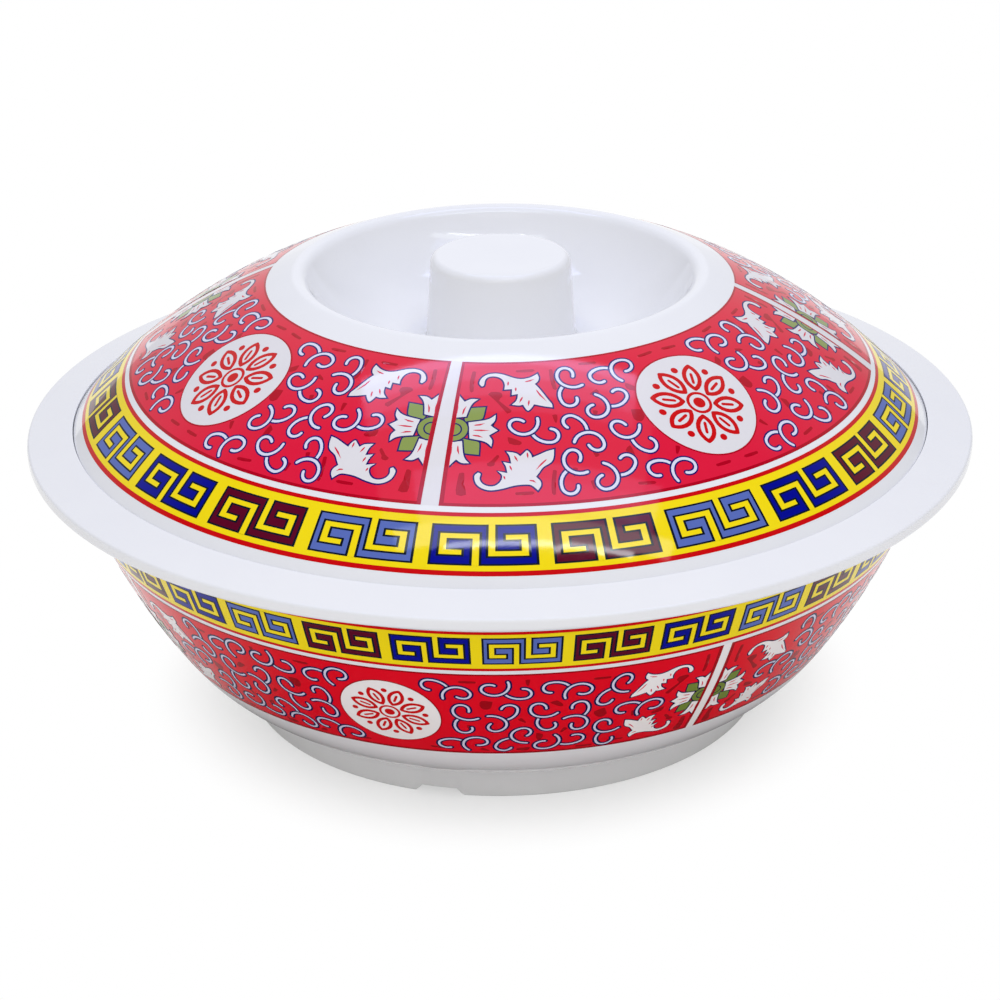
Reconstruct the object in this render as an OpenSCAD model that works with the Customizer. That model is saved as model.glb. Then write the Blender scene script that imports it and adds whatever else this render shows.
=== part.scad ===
// Lidded serving bowl, moulded in two shells with printed foils set flush in their outer faces.
// Angles round the axis are counted from the front (-Y), positive towards +X.

/* [Bowl] */
// Diameter over the rim
rim_d = 250; // [246:1:256]
// Height of the flange's inner edge above the table
bowl_h = 79.7; // [78:0.1:82]
// Width of the flange, from the lid's step to the rim
flange_w = 11.9; // [10:0.1:13]
// Fall of the flange towards the rim, in degrees
flange_tilt = 11.1; // [8:0.1:14]
// Height of the rim's outer edge
rim_edge_t = 3.2; // [2.8:0.1:4]
// Rounding of that edge, above and below
rim_round = 0.9; // [0.6:0.1:1.2]
// Thickness of both shells
wall_t = 3; // [2.6:0.1:3.4]
// Radius of the belly's curve
belly_r = 177; // [172:1:184]
// Radius of the heel's curve, below the belly
heel_r = 42; // [40:0.5:46]
// Diameter where heel and belly meet
join_d = 181.4; // [180:0.1:183]
// Height where heel and belly meet
join_z = 23.4; // [22.5:0.1:24]
// Slope of the wall where heel and belly meet, in degrees
join_slope = 55.75; // [55:0.25:57]

/* [Foot] */
// Outside diameter of the foot ring at the table
foot_d = 141; // [138:0.5:143]
// Outside diameter of the foot ring where the wall springs from it
foot_top_d = 144; // [143.5:0.5:148]
// Width of the foot ring's standing face
foot_w = 6; // [4:0.5:8]
// Thickness of the floor inside the foot ring
base_t = 3.3; // [3:0.1:4.4]
// Number of drain notches in the foot ring
notch_count = 3; // [1:1:6]
// Width of a notch at its roof
notch_w = 9; // [6:0.1:12]
// Width of a notch at the table
notch_mouth_w = 13; // [12:0.1:20]
// Depth of a notch
notch_depth = 2; // [1:0.1:3]
// Angle of the first notch
notch_at = -14.2; // [-60:0.1:60]

/* [Lid] */
// Gap between the lid's edge and the flange's step
lid_gap = 0.6; // [0.4:0.1:1]
// Width of the ledge that the lid rests on
seat_w = 3.1; // [2.8:0.1:4]
// Depth of the ledge below the flange
seat_depth = 2.6; // [2.2:0.1:3]
// Height of the lid's upright edge
lid_edge_h = 1.8; // [1.4:0.1:2.2]
// Diameter of the dome's upper circle, where its print ends
crown_d = 122.4; // [121:0.1:126]
// Height of that circle above the lid's seat
crown_rise = 38.3; // [37:0.1:40]
// Diameter of the crest of the lip round the well
lip_d = 108; // [106:0.5:110]
// Radius of the lip
lip_r = 6; // [5:0.1:7]
// Steepest slope of the well's side, in degrees
well_slope = 60; // [58:1:62]
// Depth of the well below the lip's crest
well_depth = 18.9; // [17.5:0.1:20]

/* [Knob] */
// Diameter of the knob at its top
knob_d = 36.8; // [34:0.1:37]
// Height of the knob's top above the lid's seat
knob_rise = 44.9; // [43:0.1:48]
// Rounding of the knob's top edge
knob_round = 2.2; // [1:0.1:3]
// Hollow fillet at the knob's root; a smaller one gives a wider root and more taper
knob_fillet = 1.5; // [1:0.1:3]
// Thickness of the knob's top
knob_top_t = 4; // [3:0.1:5]

/* [Printed foils] */
// Thickness of a foil with its glaze
foil_t = 0.3; // [0.2:0.05:0.5]
// Outer diameter of the lid's border foil
lid_border_outer_d = 221; // [219:0.1:221.4]
// Inner diameter of the lid's border foil
lid_border_inner_d = 197.6; // [197:0.1:199]
// Lower diameter of the lid's panel foils
lid_panel_d = 195.2; // [190:0.1:196.4]
// Angle of the bar between the lid's two front panels
lid_bar_at = -10.2; // [-45:0.1:45]
// Width of that bar, in degrees
lid_bar_angle = 2.5; // [1:0.1:4]
// Angle of the lid panel to the right of that bar
lid_right_angle = 93.7; // [85:0.1:95]
// Angle of the one to its left; the two behind share the rest
lid_left_angle = 91.2; // [85:0.1:95]
// Height of the bowl's border foil at its top
bowl_border_top = 68.3; // [67:0.1:69]
// Height of the bowl's border foil at its foot
bowl_border_foot = 55.7; // [55.2:0.1:57]
// Height of the bowl's panel foils at their top
bowl_panel_top = 54.5; // [52:0.1:54.9]
// Height of the bowl's panel foils at their foot
bowl_panel_foot = 24.2; // [24.1:0.1:30]
// Angle of the bar between two of the bowl's panels
bowl_bar_at = 30; // [-45:0.1:45]
// Width of that bar, in degrees
bowl_bar_angle = 1.3; // [1:0.05:4]
// Angle of each bowl panel beside that bar; the two behind it share the rest
bowl_front_angle = 92.5; // [85:0.1:95]

/* [Hidden] */
$fn = 180;
PANELS = 4;
front = -90;           // the front's angle from +X
chord_gap = 0.015;     // how far a chord may leave its arc
cut_past = 1;          // how far a cutter runs past the face that it cuts
edge_round = 0.6;      // rounding of the foot's and the lid's outer edges
rim_chamfer = 2.5;     // chamfer under the rim, where the wall runs into it
rim_chamfer_drop = 3;  // how far below the middle of the rim's edge that chamfer starts
foot_draft = 1.5;      // slope of the foot ring's inner face, from table to floor

white = "#eff1f4";
crimson = "#d8173a";
yellow = "#f7dc24";

// Points on a circle, in a section's own plane
function polar(c, r, a) = [c[0] + r * cos(a), c[1] + r * sin(a)];
function arc(c, r, from, to) =
    let (steps = ceil(abs(to - from) / (2 * acos(1 - chord_gap / r))))
    [for (i = [0 : steps]) polar(c, r, from + (to - from) * i / steps)];

// The wall: a heel and a belly that share a tangent where they meet; their lowest points lie at -90
lowest = -90;
join_angle = lowest + join_slope;
join_p = [join_d / 2, join_z];
belly_c = polar(join_p, -belly_r, join_angle);
heel_c = polar(join_p, -heel_r, join_angle);
function belly_angle(z) = asin((z - belly_c[1]) / belly_r);

foot_r = foot_d / 2;
foot_top_angle = -acos((foot_top_d / 2 - heel_c[0]) / heel_r);
floor_z = heel_c[1] - heel_r + wall_t;
recess_z = floor_z - base_t;

// The rim: a flange that falls outwards to an upright edge with two small rounds
rim_r = rim_d / 2;
step_r = rim_r - flange_w;
round_r = rim_r - rim_round;
upper_z = bowl_h - (round_r - step_r) * tan(flange_tilt) - rim_round / cos(flange_tilt);
lower_z = upper_z - rim_edge_t + 2 * rim_round;
upper_c = [round_r, upper_z];
lower_c = [round_r, lower_z];
edge_under = polar(lower_c, rim_round, 270 - flange_tilt);
chamfer_z = (upper_z + lower_z) / 2 - rim_chamfer_drop;
chamfer_r = polar(belly_c, belly_r, belly_angle(chamfer_z))[0] + rim_chamfer;
seat_z = bowl_h - seat_depth;
seat_r = step_r - seat_w;
seat_angle = -acos((seat_r - belly_c[0]) / (belly_r - wall_t));

// The lid's dome: part of a sphere through its edge and its crown
lid_r = step_r - lid_gap;
lid_edge_z = seat_z + lid_edge_h + edge_round;
crown_r = crown_d / 2;
crown_z = seat_z + crown_rise;
dome_z = (crown_z * crown_z + crown_r * crown_r - lid_edge_z * lid_edge_z - lid_r * lid_r)
    / (2 * (crown_z - lid_edge_z));
dome_c = [0, dome_z];
dome_r = norm([crown_r, crown_z - dome_z]);
function dome_angle(r) = acos(r / dome_r);
inside_edge_angle = asin((seat_z - dome_z) / (dome_r - wall_t));

// The crown: a lip that rolls over into a well, which bottoms at the knob's root
lip_angle = acos(lip_d / 2 / (dome_r - lip_r));
lip_c = polar(dome_c, dome_r - lip_r, lip_angle);
well_floor_z = lip_c[1] + lip_r - well_depth;
well_r = (lip_c[1] + lip_r * cos(well_slope) - well_floor_z) / (1 - cos(well_slope));
well_c = polar(lip_c, lip_r + well_r, 90 + well_slope);
knob_r = knob_d / 2;
knob_z = seat_z + knob_rise;
knob_round_c = [knob_r - knob_round, knob_z - knob_round];
knob_fillet_c = [well_c[0], well_floor_z + knob_fillet];

// Turns a section through part of a circle
module turned(from, sweep) {
    rotate([0, 0, front + from]) rotate_extrude(angle = sweep) children();
}

module bowl_section() {
    polygon(concat(
        [[0, recess_z], [foot_r - foot_w - foot_draft, recess_z], [foot_r - foot_w, 0]],
        arc([foot_r - edge_round, edge_round], edge_round, 270, 360),
        arc(heel_c, heel_r, foot_top_angle, join_angle),
        arc(belly_c, belly_r, join_angle, belly_angle(chamfer_z)),
        [[chamfer_r, edge_under[1] + (edge_under[0] - chamfer_r) * tan(flange_tilt)]],
        arc(lower_c, rim_round, 270 - flange_tilt, 360),
        arc(upper_c, rim_round, 0, 90 - flange_tilt),
        [[step_r, bowl_h], [step_r, seat_z], [seat_r, seat_z]],
        arc(belly_c, belly_r - wall_t, seat_angle, join_angle),
        arc(heel_c, heel_r - wall_t, join_angle, lowest),
        [[0, floor_z]]
    ));
}

// A strip of the wall's face between two heights, from one foil's depth inside it to proud of it
module bowl_strip(foot, top, proud) {
    polygon(concat(
        arc(belly_c, belly_r + proud, belly_angle(foot), belly_angle(top)),
        arc(belly_c, belly_r - foil_t, belly_angle(top), belly_angle(foot))
    ));
}

module bowl_border(proud) {
    turned(0, 360) bowl_strip(bowl_border_foot, bowl_border_top, proud);
}

module bowl_panel(number, proud) {
    bars = [0, bowl_front_angle, 180, 360 - bowl_front_angle, 360];
    first = bars[number - 1];
    turned(bowl_bar_at + first + bowl_bar_angle / 2, bars[number] - first - bowl_bar_angle)
        bowl_strip(bowl_panel_foot, bowl_panel_top, proud);
}

module drain_notch() {
    flare = (notch_mouth_w - notch_w) / 2 / notch_depth * cut_past;
    rotate([90, 0, 0])
        translate([0, 0, foot_r - foot_w - foot_draft - cut_past])
            linear_extrude(foot_w + foot_draft + 3 * cut_past)
                polygon([
                    [-notch_mouth_w / 2 - flare, -cut_past], [notch_mouth_w / 2 + flare, -cut_past],
                    [notch_w / 2, notch_depth], [-notch_w / 2, notch_depth]
                ]);
}

module bowl() {
    color(white) difference() {
        turned(0, 360) bowl_section();
        bowl_border(cut_past);
        for (number = [1 : PANELS]) bowl_panel(number, cut_past);
        for (i = [0 : notch_count - 1]) rotate([0, 0, notch_at + i * 360 / notch_count]) drain_notch();
    }
}

module bowl_border_foil() {
    color(yellow) bowl_border(0);
}

module bowl_panel_foil(number) {
    color(crimson) bowl_panel(number, 0);
}

module lid_section() {
    knob_bore_r = knob_r - wall_t;
    polygon(concat(
        [[lid_r, seat_z]],
        arc([lid_r - edge_round, seat_z + lid_edge_h], edge_round, 0, dome_angle(lid_r)),
        arc(dome_c, dome_r, dome_angle(lid_r - edge_round), lip_angle),
        arc(lip_c, lip_r, lip_angle, 90 + well_slope),
        arc(well_c, well_r, 270 + well_slope, 270),
        arc(knob_fillet_c, knob_fillet, 270, 180),
        arc(knob_round_c, knob_round, 0, 90),
        [[0, knob_z], [0, knob_z - knob_top_t]],
        [[knob_bore_r - knob_round, knob_z - knob_top_t], [knob_bore_r, knob_z - knob_top_t - knob_round]],
        [[knob_bore_r, well_floor_z - wall_t]],
        arc(well_c, well_r + wall_t, 270, 270 + well_slope),
        arc(lip_c, lip_r - wall_t, 90 + well_slope, lip_angle),
        arc(dome_c, dome_r - wall_t, lip_angle, inside_edge_angle)
    ));
}

// A strip of the dome's face between two radii, from one foil's depth inside it to proud of it
module lid_strip(outer, inner, proud) {
    polygon(concat(
        arc(dome_c, dome_r + proud, dome_angle(outer), dome_angle(inner)),
        arc(dome_c, dome_r - foil_t, dome_angle(inner), dome_angle(outer))
    ));
}

module lid_border(proud) {
    turned(0, 360) lid_strip(lid_border_outer_d / 2, lid_border_inner_d / 2, proud);
}

module lid_panel(number, proud) {
    last = 360 - lid_left_angle;
    bars = [0, lid_right_angle, (lid_right_angle + last) / 2, last, 360];
    first = bars[number - 1];
    turned(lid_bar_at + first + lid_bar_angle / 2, bars[number] - first - lid_bar_angle)
        lid_strip(lid_panel_d / 2, crown_r, proud);
}

module lid() {
    color(white) difference() {
        turned(0, 360) lid_section();
        lid_border(cut_past);
        for (number = [1 : PANELS]) lid_panel(number, cut_past);
    }
}

module lid_border_foil() {
    color(yellow) lid_border(0);
}

module lid_panel_foil(number) {
    color(crimson) lid_panel(number, 0);
}

bowl();
bowl_border_foil();
bowl_panel_foil(1);  // bowl_panel_foil_1
bowl_panel_foil(2);  // bowl_panel_foil_2
bowl_panel_foil(3);  // bowl_panel_foil_3
bowl_panel_foil(4);  // bowl_panel_foil_4
lid();
lid_border_foil();
lid_panel_foil(1);  // lid_panel_foil_1
lid_panel_foil(2);  // lid_panel_foil_2
lid_panel_foil(3);  // lid_panel_foil_3
lid_panel_foil(4);  // lid_panel_foil_4
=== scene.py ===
# Melamine serving bowl with a lift-off lid: two smooth shells, printed papers and the inks on them.
# Drawn in millimetres, with z up and the front at -Y, and scaled to metres as each piece is made.
from collections import defaultdict
from math import acos, asin, ceil, cos, degrees, hypot, pi, radians, sin, tan

import bmesh
import bpy
from mathutils import Matrix, Vector

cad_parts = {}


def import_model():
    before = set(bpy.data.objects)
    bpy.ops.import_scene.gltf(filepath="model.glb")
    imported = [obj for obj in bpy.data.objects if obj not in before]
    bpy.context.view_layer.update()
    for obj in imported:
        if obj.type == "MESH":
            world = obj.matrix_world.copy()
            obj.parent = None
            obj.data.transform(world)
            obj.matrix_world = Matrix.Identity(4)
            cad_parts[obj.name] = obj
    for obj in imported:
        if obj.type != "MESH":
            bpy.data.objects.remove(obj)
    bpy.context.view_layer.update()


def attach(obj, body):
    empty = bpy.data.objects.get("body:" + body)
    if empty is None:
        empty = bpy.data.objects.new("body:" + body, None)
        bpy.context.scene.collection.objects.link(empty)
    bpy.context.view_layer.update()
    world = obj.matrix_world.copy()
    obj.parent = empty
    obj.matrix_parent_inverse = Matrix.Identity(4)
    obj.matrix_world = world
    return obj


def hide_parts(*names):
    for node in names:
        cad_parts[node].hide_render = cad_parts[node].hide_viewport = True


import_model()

MM = 0.001

# Fineness: steps of a full turn, an arc's error, the print's grid, what counts as one point or a sharp edge
TURN_STEPS = 384
ARC_ERROR = 0.006
GRID = 2.2
GRID_ROUND = 2
SAME_POINT = 0.001
SHARP = radians(40)

# Sizes of the bowl
RIM_R = 125
BOWL_H = 79.7
STEP_R = 113.1
TILT = radians(11.1)
EDGE_H = 3.2
EDGE_ROUND = 0.9
CHAMFER_W = 2.5
CHAMFER_DROP = 3
WALL = 3
BELLY_R = 177
HEEL_R = 42
JOIN = (90.7, 23.4)
JOIN_ANGLE = radians(-34.25)
FOOT_R = 70.5
FOOT_TOP_R = 72
FOOT_TOP_Z = 8.3
FOOT_W = 6
FOOT_ROUND = 0.6
RECESS_SLOPE = 1.5
BASE = 3.3
SEAT_Z = 77.1
SEAT_R = 110
NOTCHES = 3
NOTCH_AT = -14.2
NOTCH_ROOF = 3.66
NOTCH_MOUTH = 5.29
NOTCH_DEPTH = 2

# Sizes of the lid
LID_R = 112.5
LID_EDGE_Z = 79.5
LID_EDGE_ROUND = 0.3
LID_EDGE_OUT = 0.4
CROWN_R = 61.2
CROWN_Z = 115.4
LIP_AT = 53.5
LIP_R = 3.6
WELL_SLOPE = radians(60)
WELL_DEPTH = 18.9
KNOB_R = 18.4
KNOB_Z = 122
KNOB_ROUND = 2.2
KNOB_FILLET = 1
KNOB_TOP = 4


def polar(c, r, a):
    return (c[0] + r * cos(a), c[1] + r * sin(a))


def arc(c, r, start, end):
    steps = ceil(abs(end - start) / (2 * acos(1 - ARC_ERROR / r)))
    return [polar(c, r, start + (end - start) * i / steps) for i in range(steps + 1)]


# Curves of the bowl's wall and of the lid's dome. A section is a row of points, with the corners to soften.
belly_c = polar(JOIN, -BELLY_R, JOIN_ANGLE)
heel_c = polar(JOIN, -HEEL_R, JOIN_ANGLE)
dome_z = (CROWN_Z ** 2 + CROWN_R ** 2 - LID_EDGE_Z ** 2 - LID_R ** 2) / (2 * (CROWN_Z - LID_EDGE_Z))
dome_c = (0, dome_z)
dome_r = hypot(CROWN_R, CROWN_Z - dome_z)


def bowl_section():
    """The bowl's section, from the middle of its underside out over the rim and in to its floor."""
    floor_z = heel_c[1] - HEEL_R + WALL
    recess_z = floor_z - BASE
    round_r = RIM_R - EDGE_ROUND
    upper_z = BOWL_H - (round_r - STEP_R) * tan(TILT) - EDGE_ROUND / cos(TILT)
    lower_z = upper_z - EDGE_H + 2 * EDGE_ROUND
    lower_edge = arc((round_r, lower_z), EDGE_ROUND, radians(270) - TILT, radians(360))
    chamfer_z = (upper_z + lower_z) / 2 - CHAMFER_DROP
    chamfer_angle = asin((chamfer_z - belly_c[1]) / BELLY_R)
    chamfer_r = polar(belly_c, BELLY_R, chamfer_angle)[0] + CHAMFER_W
    chamfer_top = lower_edge[0][1] + (lower_edge[0][0] - chamfer_r) * tan(TILT)
    spring = -acos((FOOT_TOP_R - heel_c[0]) / HEEL_R)
    seat_angle = -acos((SEAT_R - belly_c[0]) / (BELLY_R - WALL))
    foot_inner = FOOT_R - FOOT_W
    points = [(0, recess_z), (foot_inner - RECESS_SLOPE, recess_z), (foot_inner, 0)]
    points += arc((FOOT_R - FOOT_ROUND, FOOT_ROUND), FOOT_ROUND, radians(-90), 0)
    points += arc(heel_c, HEEL_R, spring, JOIN_ANGLE)
    points += arc(belly_c, BELLY_R, JOIN_ANGLE, chamfer_angle)[1:]
    points += [(chamfer_r, chamfer_top)]
    points += lower_edge
    points += arc((round_r, upper_z), EDGE_ROUND, 0, radians(90) - TILT)
    points += [(STEP_R, BOWL_H), (STEP_R, SEAT_Z), (SEAT_R, SEAT_Z)]
    points += arc(belly_c, BELLY_R - WALL, seat_angle, JOIN_ANGLE)
    points += arc(heel_c, HEEL_R - WALL, JOIN_ANGLE, radians(-90))[1:]
    points += [(0, floor_z)]
    chamfer = points.index((chamfer_r, chamfer_top))
    softened = {
        points[1]: 0.8, points[2]: 0.7, (STEP_R, BOWL_H): 0.3, (STEP_R, SEAT_Z): 0.5, (SEAT_R, SEAT_Z): 0.7,
        points[chamfer]: 1.2, points[chamfer - 1]: 1.2}
    return points, softened


def lid_section():
    """The lid's section, from the hollow in its knob out under the dome and back over it to the knob."""
    lip_angle = acos(LIP_AT / (dome_r - LIP_R))
    lip_c = polar(dome_c, dome_r - LIP_R, lip_angle)
    well_floor = lip_c[1] + LIP_R - WELL_DEPTH
    well_r = (lip_c[1] + LIP_R * cos(WELL_SLOPE) - well_floor) / (1 - cos(WELL_SLOPE))
    well_turn = radians(90) + WELL_SLOPE
    well_c = polar(lip_c, LIP_R + well_r, well_turn)
    inside_edge = asin((SEAT_Z - dome_z) / (dome_r - WALL))
    edge_r = LID_R + LID_EDGE_OUT
    edge_angle = acos((edge_r - LID_EDGE_ROUND) / (dome_r - LID_EDGE_ROUND))
    bore_r = KNOB_R - WALL
    bore_foot = -acos((bore_r - well_c[0]) / (well_r + WALL))
    points = [(0, KNOB_Z - KNOB_TOP), (bore_r, KNOB_Z - KNOB_TOP)]
    points += arc(well_c, well_r + WALL, bore_foot, well_turn - pi)
    points += arc(lip_c, LIP_R - WALL, well_turn, lip_angle)
    points += arc(dome_c, dome_r - WALL, lip_angle, inside_edge)[1:]
    points += [(edge_r, SEAT_Z)]
    points += arc(polar(dome_c, dome_r - LID_EDGE_ROUND, edge_angle), LID_EDGE_ROUND, 0, edge_angle)
    points += arc(dome_c, dome_r, edge_angle, lip_angle)[1:]
    points += arc(lip_c, LIP_R, lip_angle, well_turn)[1:]
    points += arc(well_c, well_r, well_turn - pi, radians(-90))[1:]
    points += arc((well_c[0], well_floor + KNOB_FILLET), KNOB_FILLET, radians(270), radians(180))[1:]
    points += arc((KNOB_R - KNOB_ROUND, KNOB_Z - KNOB_ROUND), KNOB_ROUND, 0, radians(90))
    points += [(0, KNOB_Z)]
    return points, {points[1]: 2.5, (edge_r, SEAT_Z): 0.5}


# Colours, written as screen values
def screen(r, g, b):
    return tuple(((c / 255 + 0.055) / 1.055) ** 2.4 if c > 10 else c / 3294.6 for c in (r, g, b)) + (1,)


# Two tones of each ink: a full one, and one where it lies a little thinner
INKS = {
    "melamine": (screen(241, 241, 242), screen(237, 237, 239)),
    # The lid's crimson is pinker than the bowl's by painted sheen: a haze of reflected overhead light is
    # painted into its colour.
    "lid_crimson": (screen(227, 27, 60), screen(232, 32, 66)),
    "lid_shade": (screen(178, 0, 30), screen(188, 4, 36)),
    "lid_white": (screen(232, 229, 231), screen(228, 225, 228)),
    "bowl_crimson": (screen(232, 2, 28), screen(236, 6, 36)),
    "bowl_shade": (screen(158, 0, 14), screen(168, 2, 22)),
    # The bowl's white is brighter than the lid's by painted light, making up for the shade that the bowl's
    # lower wall sits in.
    "bowl_white": (screen(251, 246, 243), screen(246, 242, 240)),
    "yellow": (screen(252, 224, 14), screen(254, 230, 30)),
    "lid_navy": (screen(24, 18, 98), screen(32, 24, 112)),
    "bowl_navy": (screen(14, 8, 66), screen(22, 14, 80)),
    "lid_scroll": (screen(226, 227, 245), screen(220, 222, 242)),
    "bowl_scroll": (screen(220, 219, 238), screen(214, 213, 234)),
    "lid_green": (screen(138, 156, 76), screen(146, 162, 86)),
    "bowl_green": (screen(114, 134, 52), screen(122, 142, 60)),
    "vein": (screen(216, 36, 66), screen(224, 52, 80)),
    "red": (screen(206, 6, 12), screen(214, 14, 20)),
    "fret_line": (screen(8, 20, 36), screen(14, 28, 46)),
    "fret_navy": (screen(3, 9, 142), screen(8, 16, 150)),
    "fret_blue": (screen(88, 108, 184), screen(96, 116, 190)),
    "fret_maroon": (screen(90, 4, 34), screen(100, 10, 42)),
}


def link(tree, start, end):
    tree.links.new(start, end)


def noise(tree, place, scale, detail):
    node = tree.nodes.new("ShaderNodeTexNoise")
    node.inputs["Scale"].default_value = scale
    node.inputs["Detail"].default_value = detail
    link(tree, place.outputs["Object"], node.inputs["Vector"])
    return node.outputs["Fac"]


def ramp(tree, value, start, end, low, high):
    """Carries a value over from one range to another, and stops at its ends."""
    node = tree.nodes.new("ShaderNodeMapRange")
    for name, number in (("From Min", start), ("From Max", end), ("To Min", low), ("To Max", high)):
        node.inputs[name].default_value = number
    link(tree, value, node.inputs["Value"])
    return node.outputs["Result"]


def maths(tree, operation, *values):
    node = tree.nodes.new("ShaderNodeMath")
    node.operation = operation
    for value, socket in zip(values, node.inputs):
        link(tree, value, socket)
    return node.outputs[0]


def blend(tree, share, *pair):
    """Goes from the first of two colours over to the second."""
    node = tree.nodes.new("ShaderNodeMix")
    node.data_type = "RGBA"
    sockets = [socket for socket in node.inputs if socket.type == "RGBA"]
    for socket, colour in zip(sockets, pair):
        socket.default_value = colour
    link(tree, share, node.inputs[0])
    return next(socket for socket in node.outputs if socket.type == "RGBA")


def mixed(tree, share, *shaders):
    """Goes from the first of two shaders over to the second."""
    node = tree.nodes.new("ShaderNodeMixShader")
    for start, socket in zip((share, *shaders), node.inputs):
        link(tree, start, socket)
    return node.outputs[0]


def glaze_group():
    """The clear glaze over everything: faint waves, a drifting roughness, and the ink's clouds and grain."""
    tree = bpy.data.node_groups.new("glaze", "ShaderNodeTree")
    for name, kind in (("Cloud", "Float"), ("Roughness", "Float"), ("Normal", "Vector")):
        tree.interface.new_socket(name, in_out="OUTPUT", socket_type="NodeSocket" + kind)
    out = tree.nodes.new("NodeGroupOutput")
    place = tree.nodes.new("ShaderNodeTexCoord")
    cloud = noise(tree, place, 70, 3)
    grain = noise(tree, place, 2600, 1)
    wave = noise(tree, place, 150, 1)
    both = tree.nodes.new("ShaderNodeMath")
    both.operation = "MULTIPLY_ADD"
    both.inputs[1].default_value = 0.6
    link(tree, grain, both.inputs[0])
    link(tree, ramp(tree, cloud, 0.3, 0.7, 0, 0.4), both.inputs[2])
    link(tree, both.outputs[0], out.inputs["Cloud"])
    link(tree, ramp(tree, cloud, 0.3, 0.7, 0.045, 0.075), out.inputs["Roughness"])
    bump = tree.nodes.new("ShaderNodeBump")
    bump.inputs["Strength"].default_value = 0.3
    bump.inputs["Distance"].default_value = 0.00002
    link(tree, wave, bump.inputs["Height"])
    link(tree, bump.outputs["Normal"], out.inputs["Normal"])
    return tree


glaze = glaze_group()


def material(name):
    """An ink, or the white moulding itself, under the glaze."""
    made = bpy.data.materials.new(name)
    made.use_nodes = True
    tree = made.node_tree
    surface = tree.nodes["Principled BSDF"]
    surface.inputs["IOR"].default_value = 1.5
    over = tree.nodes.new("ShaderNodeGroup")
    over.node_tree = glaze
    link(tree, blend(tree, over.outputs["Cloud"], *INKS[name]), surface.inputs["Base Color"])
    for effect in ("Roughness", "Normal"):
        link(tree, over.outputs[effect], surface.inputs[effect])
    return made


materials = {name: material(name) for name in INKS}


def piece(name, bm, body, ink, nodes=()):
    """Makes an object of a mesh that is already in place, on its body and in place of its CAD nodes."""
    mesh = bpy.data.meshes.new(name)
    bm.to_mesh(mesh)
    bm.free()
    mesh.materials.append(materials[ink])
    mesh.shade_smooth()
    made = bpy.data.objects.new(name, mesh)
    bpy.context.scene.collection.objects.link(made)
    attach(made, body)
    if nodes:
        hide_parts(*nodes)
    return made


# The two shells
def turned(section):
    """Spins a section with softened corners about the axis."""
    points, softened = section
    bm = bmesh.new()
    verts = [bm.verts.new((0, -r, z)) for r, z in points]
    for a, b in zip(verts, verts[1:]):
        bm.edges.new((a, b))
    for corner, size in softened.items():
        bmesh.ops.bevel(
            bm, geom=[verts[points.index(corner)]], offset=size, offset_type="OFFSET", segments=4,
            profile=0.5, affect="VERTICES", material=-1)
    bmesh.ops.spin(
        bm, geom=bm.verts[:] + bm.edges[:], cent=(0, 0, 0), axis=(0, 0, 1), angle=2 * pi, steps=TURN_STEPS,
        use_merge=True)
    bmesh.ops.remove_doubles(bm, verts=bm.verts, dist=SAME_POINT)
    bmesh.ops.recalc_face_normals(bm, faces=bm.faces)
    return bm


def cut_notches(bm):
    """Lifts the foot ring's standing face in the drain notches, between cuts at their corners."""
    # The cuts reach to just inside the slope of the recess
    inner_r = FOOT_R - FOOT_W - RECESS_SLOPE - 1
    apart = 360 / NOTCHES
    for number in range(NOTCHES):
        middle = NOTCH_AT + apart * number
        for corner in (-NOTCH_MOUTH, -NOTCH_ROOF, NOTCH_ROOF, NOTCH_MOUTH):
            a = radians(middle + corner)
            middles = {f: f.calc_center_median() for f in bm.faces}
            ring = [f for f, m in middles.items() if m.z < FOOT_TOP_Z and m.xy.length > inner_r]
            geom = {v for f in ring for v in f.verts} | {e for f in ring for e in f.edges} | set(ring)
            bmesh.ops.bisect_plane(bm, geom=list(geom), plane_co=(0, 0, 0), plane_no=(cos(a), sin(a), 0))
    for v in bm.verts:
        if v.co.z < NOTCH_DEPTH and v.co.xy.length > inner_r:
            at = degrees(v.co.xy.angle_signed(Vector((0, -1)))) - NOTCH_AT
            off = abs((at + apart / 2) % apart - apart / 2)
            rise = (NOTCH_MOUTH - off) / (NOTCH_MOUTH - NOTCH_ROOF)
            v.co.z = max(v.co.z, NOTCH_DEPTH * min(1, max(0, rise)))


def shell(name, section, notched):
    bm = turned(section)
    if notched:
        cut_notches(bm)
    bmesh.ops.scale(bm, vec=(MM, MM, MM), verts=bm.verts)
    made = piece(name + "_shell", bm, name, "melamine", [name])
    made.data.set_sharp_from_angle(angle=SHARP)
    weigh = made.modifiers.new("even normals", "WEIGHTED_NORMAL")
    weigh.keep_sharp = True


shell("bowl", bowl_section(), True)
shell("lid", lid_section(), False)


# Print: heights of the layers of ink over the shells, and how deep papers and inks reach into them
LEVELS = [0.02 + 0.015 * i for i in range(9)]
FOIL_DEPTH = 0.25
INK_DEPTH = 0.1


class Face:
    """A printed face: x runs round it from the front, in lengths at the radius flat, y down from top_z."""

    def __init__(self, body, flat, centre, r, top_z):
        self.body = body
        self.flat = flat
        self.centre = centre
        self.r = r
        self.top = asin((top_z - centre[1]) / r)
        self.sheets = defaultdict(bmesh.new)

    def radius(self, y):
        return self.centre[0] + self.r * cos(self.top - y / self.r)

    def place(self, x, y, h):
        """The point at a height over the face, and the way the face looks there."""
        tilt = self.top - y / self.r
        around = x / self.flat
        out = self.centre[0] + (self.r + h) * cos(tilt)
        point = Vector((out * sin(around), -out * cos(around), self.centre[1] + (self.r + h) * sin(tilt)))
        return point * MM, Vector((cos(tilt) * sin(around), -cos(tilt) * cos(around), sin(tilt)))


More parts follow.
